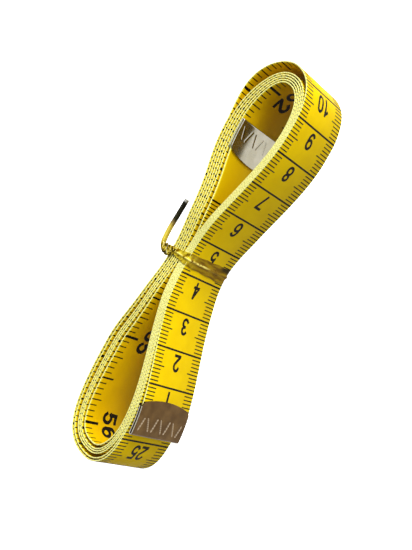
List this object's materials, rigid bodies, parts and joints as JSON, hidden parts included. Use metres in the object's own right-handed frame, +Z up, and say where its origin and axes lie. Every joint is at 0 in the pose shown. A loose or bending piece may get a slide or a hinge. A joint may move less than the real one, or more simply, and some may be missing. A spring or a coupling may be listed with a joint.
{
  "type": "tape measure",
  "caption": "Soft tailor's tape measure wound flat into a long hank with two eyes, metal tips on its ends, held at the waist by a twisted wire-cored tie.",
  "frame": {"origin": "bottom centre of the whole object's box, on the surface it stands on", "axes": "+X along the hank to its right loop, +Y to the far side where the tie is twisted, +Z up along the tape's width"},
  "size_m": [0.1152, 0.0274, 0.0206],
  "materials": {
    "tape": "coated cloth, satin, printed in black",
    "outer_tip": "browned metal, satin",
    "inner_tip": "bright nickel plate",
    "tie": "clear gold film over a wire"
  },
  "bodies": {
    "hank": {"tape_hank": "tape", "tie_band": "tie"},
    "outer_end": {"tape_outer_end": "tape", "outer_end_tip": "outer_tip"},
    "inner_end": {"tape_inner_end": "tape", "inner_end_tip": "inner_tip"},
    "tie_twisted_end": {"tie_twist": "tie", "tie_short_tail": "tie"},
    "tie_tail": {"tie_long_tail": "tie"}
  },
  "joints": [
    {"name": "outer_end_lift", "type": "hinge", "parent": "hank", "child": "outer_end", "pos_m": [-0.00199, -0.00092, 0.01], "axis": [0, 0, 1], "range_deg": [0, 80], "stiffness_Nm_per_rad": 0.001},
    {"name": "inner_end_swing", "type": "hinge", "parent": "hank", "child": "inner_end", "pos_m": [0.00271, 0.0037, 0.01], "axis": [0, 0, -1], "range_deg": [0, 8], "stiffness_Nm_per_rad": 0.001},
    {"name": "tie_twist_fold", "type": "hinge", "parent": "hank", "child": "tie_twisted_end", "pos_m": [0.00036, 0.00991, 0.0191], "axis": [1, 0, 0], "range_deg": [-45, 45]},
    {"name": "tie_tail_bend", "type": "hinge", "parent": "tie_twisted_end", "child": "tie_tail", "pos_m": [0.00131, 0.01211, 0.0191], "axis": [0, 0, 1], "range_deg": [0, 90]}
  ]
}
